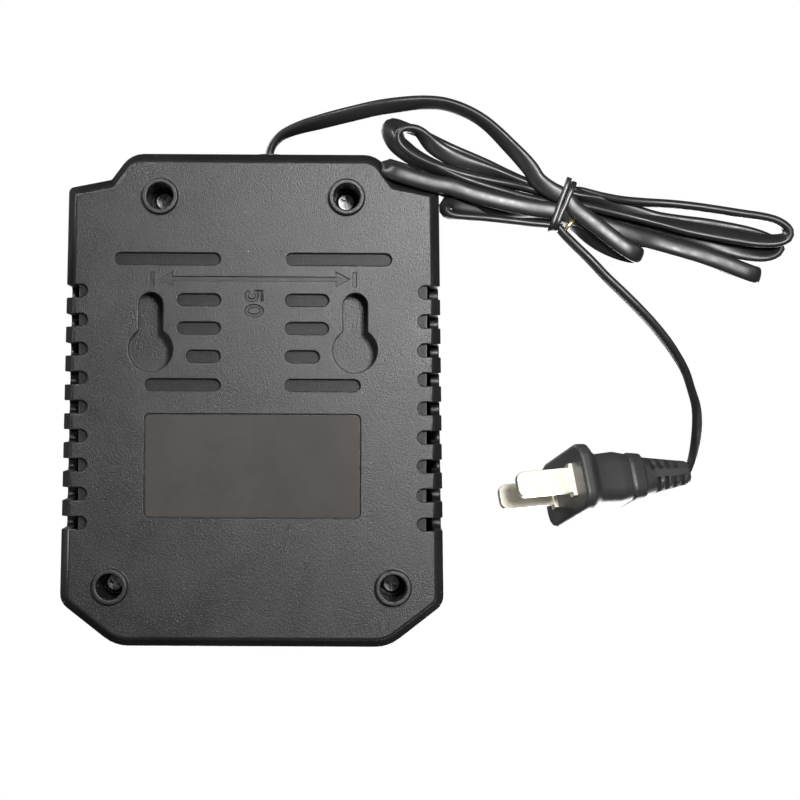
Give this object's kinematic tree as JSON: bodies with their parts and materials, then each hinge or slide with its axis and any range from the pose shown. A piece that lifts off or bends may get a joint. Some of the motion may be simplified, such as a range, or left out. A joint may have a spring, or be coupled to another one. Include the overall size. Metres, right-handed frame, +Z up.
{
  "type": "power tool battery charger",
  "caption": "Desk and wall charger for slide-in tool battery packs: vented two-part housing, dock rails with blade terminals, and a folded, tied mains cord with plug.",
  "frame": {"origin": "middle of the housing's footprint, on the surface that the four screw collars stand on", "axes": "+Z up through the battery dock, +Y from the front to the rear wall that the mains cord leaves, +X to the right seen from the front"},
  "size_m": [0.1788, 0.1347, 0.046],
  "materials": {
    "housing": "fine spark-eroded texture, satin",
    "label": "smooth film, semi-gloss",
    "steel": "bright zinc plated",
    "terminal_plastic": "glass-filled nylon, matt",
    "contacts": "nickel-plated copper alloy",
    "light_pipe": "clear, polished",
    "led": "diffused resin",
    "board": "green solder mask",
    "ferrite": "sintered, matt",
    "winding_tape": "polyester tape",
    "capacitor_sleeve": "shrink sleeve",
    "film_yellow": "moulded box",
    "disc_blue": "dipped coat",
    "core_green": "coated iron powder",
    "copper": "enamelled copper wire",
    "fuse_glass": "clear",
    "chip": "moulded epoxy",
    "aluminium": "extruded, plain",
    "opto_white": "moulded epoxy",
    "lead_red": "PVC insulation",
    "lead_brown": "PVC insulation",
    "clamp_plastic": "nylon, matt",
    "cord": "flexible PVC, glossy",
    "tie": "PVC-coated wire",
    "plug": "moulded PVC, satin"
  },
  "bodies": {
    "root": {"bottom_cover": "housing", "top_housing": "housing", "rating_label": "label", "case_screws": "steel", "terminal_block": "terminal_plastic", "positive_terminal": "contacts", "sense_terminal": "contacts", "negative_terminal": "contacts", "terminal_screws": "steel", "light_pipes": "light_pipe", "status_leds": "led", "circuit_board": "board", "board_screws": "steel", "transformer_core": "ferrite", "transformer_winding": "winding_tape", "input_capacitor": "capacitor_sleeve", "output_capacitors": "capacitor_sleeve", "film_capacitor": "film_yellow", "disc_capacitor": "disc_blue", "choke_core": "core_green", "choke_winding": "copper", "fuse_tube": "fuse_glass", "fuse_caps": "steel", "bridge_rectifier": "chip", "primary_heat_sink": "aluminium", "power_transistor": "chip", "output_heat_sink": "aluminium", "output_diode": "chip", "heat_sink_screws": "steel", "optocoupler": "opto_white", "controller_chip": "chip", "output_leads": "lead_red", "cord_bushing": "cord", "cord_clamp": "clamp_plastic", "clamp_screws": "steel", "cord_inner_end": "cord", "mains_wires": "lead_brown", "mains_cord_lead": "cord", "cord_hank": "cord", "mains_cord_tail": "cord", "cord_tie": "tie", "plug_body": "plug", "plug_blades": "contacts"}
  },
  "joints": []
}
